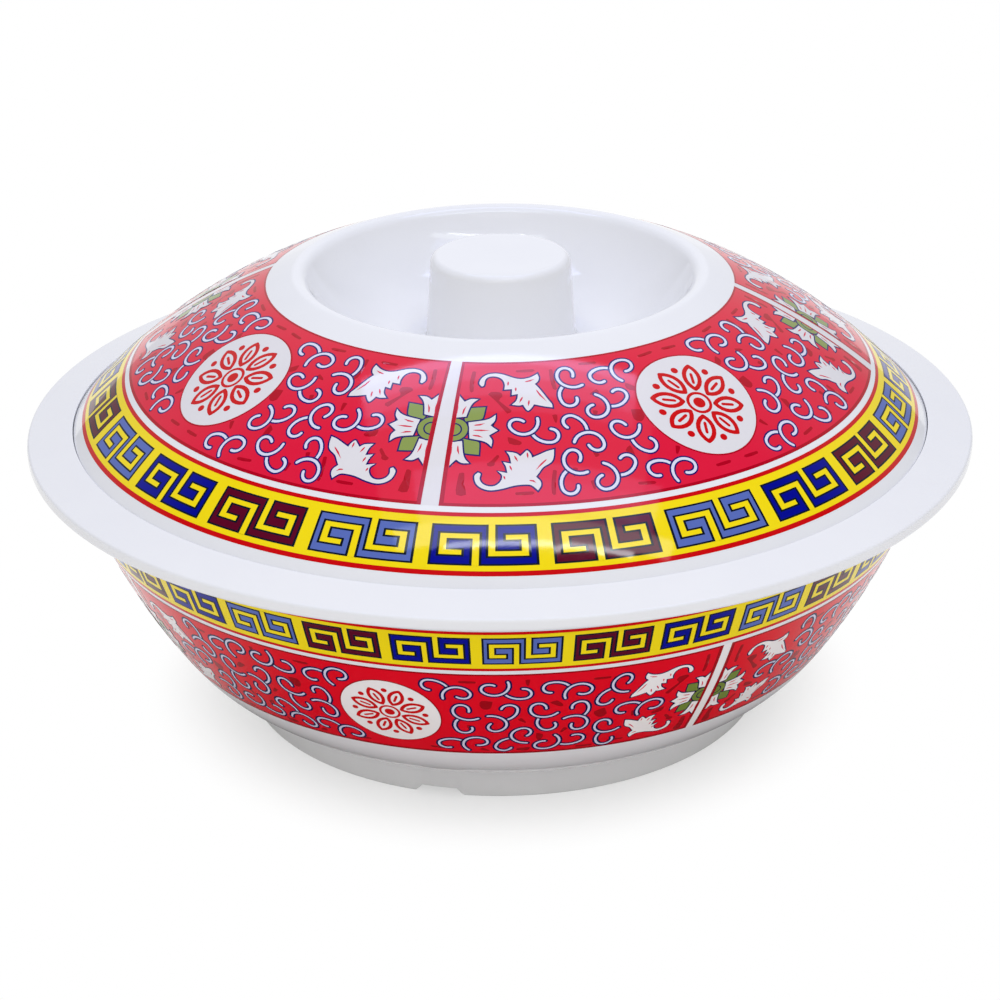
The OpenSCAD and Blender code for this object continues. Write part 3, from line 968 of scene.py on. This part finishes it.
# Floor, light and camera
def floor():
    """A plain floor, white to the camera away from the foot, and painted dark in front where the glaze
    mirrors it: painted shade in the glaze's reflection.
    """
    bm = bmesh.new()
    bmesh.ops.create_circle(bm, cap_ends=True, segments=96, radius=6)
    mesh = bpy.data.meshes.new("floor")
    bm.to_mesh(mesh)
    bm.free()
    made = bpy.data.objects.new("floor", mesh)
    bpy.context.scene.collection.objects.link(made)
    paint = bpy.data.materials.new("floor")
    paint.use_nodes = True
    tree = paint.node_tree
    new = tree.nodes.new
    lit = tree.nodes["Principled BSDF"]
    lit.inputs["Base Color"].default_value = (0.96, 0.96, 0.96, 1)
    lit.inputs["Roughness"].default_value = 0.9
    lit.inputs["Specular IOR Level"].default_value = 0
    # Painted shade: the glaze mirrors the floor near the front this dark, much darker than the floor is lit.
    painted_floor_shade = new("ShaderNodeBsdfDiffuse")
    painted_floor_shade.inputs["Color"].default_value = (0.08, 0.08, 0.08, 1)
    white = new("ShaderNodeEmission")
    place = new("ShaderNodeTexCoord")
    ray = new("ShaderNodeLightPath")
    shares = []
    for kind, middle, near, far, least in (
            ("Camera", 0, 0.068, 0.1, 0.5),
            ("Glossy", -0.11, 0.07, 0.2, 0),
            ("Transmission", -0.11, 0.07, 0.2, 0)):
        away = new("ShaderNodeVectorMath")
        away.operation = "DISTANCE"
        away.inputs[1].default_value = (0, middle, 0)
        link(tree, place.outputs["Object"], away.inputs[0])
        fade = ramp(tree, away.outputs["Value"], near, far, least, 1)
        fade.node.interpolation_type = "SMOOTHSTEP"
        shares.append(maths(tree, "MULTIPLY", ray.outputs["Is %s Ray" % kind], fade))
    total = maths(tree, "MAXIMUM", maths(tree, "MAXIMUM", *shares[:2]), shares[2])
    under = mixed(tree, ray.outputs["Is Glossy Ray"], lit.outputs[0], painted_floor_shade.outputs[0])
    link(tree, mixed(tree, total, under, white.outputs[0]), tree.nodes["Material Output"].inputs["Surface"])
    mesh.materials.append(paint)


def world():
    """White behind for what is seen and mirrored, dimmer to the front and sides, and a soft warm fill."""
    made = bpy.data.worlds.new("studio")
    bpy.context.scene.world = made
    made.use_nodes = True
    tree = made.node_tree
    sky = tree.nodes["Background"]
    ray = tree.nodes.new("ShaderNodeLightPath").outputs
    way = tree.nodes.new("ShaderNodeTexCoord")
    parts = tree.nodes.new("ShaderNodeSeparateXYZ")
    link(tree, way.outputs["Generated"], parts.inputs[0])
    behind = ramp(tree, parts.outputs["Y"], 0.2, 0.6, 0.06, 1)
    middle = ramp(tree, maths(tree, "ABSOLUTE", parts.outputs["X"]), 0.15, 0.55, 1, 0.35)
    overhead = ramp(tree, parts.outputs["Z"], 0.1, 0.8, 0.58, 0.68)
    mirrored_ray = maths(tree, "MAXIMUM", ray["Is Glossy Ray"], ray["Is Transmission Ray"])
    shown = maths(tree, "MULTIPLY", mirrored_ray, maths(tree, "MULTIPLY", behind, middle))
    seen = maths(tree, "MAXIMUM", ray["Is Camera Ray"], shown)
    filled = maths(tree, "MULTIPLY_ADD", ray["Is Diffuse Ray"], overhead, seen)
    tint = blend(tree, ray["Is Diffuse Ray"], (1, 1, 1, 1), (1, 0.99, 0.96, 1))
    link(tree, filled, sky.inputs["Strength"])
    link(tree, tint, sky.inputs["Color"])


def lamp(name, level, colour, size, at, tilt=0):
    """A soft panel that faces down, or tilted towards the back. A level of 1 shows as white."""
    light = bpy.data.lights.new(name, "AREA")
    light.shape = "RECTANGLE"
    light.size, light.size_y = size
    light.energy = level * pi * size[0] * size[1]
    light.color = colour
    made = bpy.data.objects.new(name, light)
    made.location = at
    made.rotation_euler.x = radians(tilt)
    bpy.context.scene.collection.objects.link(made)


floor()
world()

# Panels overhead, in steps that mostly grow brighter to the back and the front, and one before the object
COOL = (0.48, 0.54, 1)
PANEL_Z = 1.1
lamp("wide panel", 0.4, (0.75, 0.88, 1), (0.94, 0.75), (0.03, 0.045, 1.13))
for level, front, back in ((4.8, 0.33, 0.385), (3, 0.25, 0.33), (1.75, 0.17, 0.25), (0.7, 0.09, 0.17)):
    lamp("back panel", level, COOL, (0.86, back - front), (-0.01, (front + back) / 2, PANEL_Z))
for level, front, back in ((1.1, -0.2, -0.13), (1.6, -0.29, -0.2), (1.5, -0.36, -0.29)):
    lamp("front panel", level, COOL, (0.85, back - front), (0.13, (front + back) / 2, PANEL_Z))
lamp("front edge", 2.5, (0.88, 0.94, 1), (1.06, 0.099), (0.13, -0.4095, PANEL_Z))
lamp("strip", 12, (0.9, 0.95, 1), (0.72, 0.025), (0.14, -0.472, PANEL_Z))
lamp("front softbox", 0.9, (1, 0.99, 0.98), (1.2, 0.8), (0, -1.3, 0.95), 55)

# The camera, fitted to the circles of the object in the photo
CAMERA_AT = (0, -0.69646, 0.36189)
CAMERA_TURN = radians(-2.266)
CAMERA_TILT = radians(65.982)
CAMERA_ROLL = radians(0.221)

lens = bpy.data.cameras.new("camera")
lens.lens = 101.13
lens.shift_x = -0.10497
lens.sensor_width = 36
camera = bpy.data.objects.new("camera", lens)
aim = Matrix.Rotation(CAMERA_TURN, 4, "Z") @ Matrix.Rotation(CAMERA_TILT, 4, "X")
camera.matrix_world = Matrix.Translation(CAMERA_AT) @ aim @ Matrix.Rotation(CAMERA_ROLL, 4, "Z")
bpy.context.scene.collection.objects.link(camera)
bpy.context.scene.camera = camera
bpy.context.scene.view_settings.view_transform = "Standard"
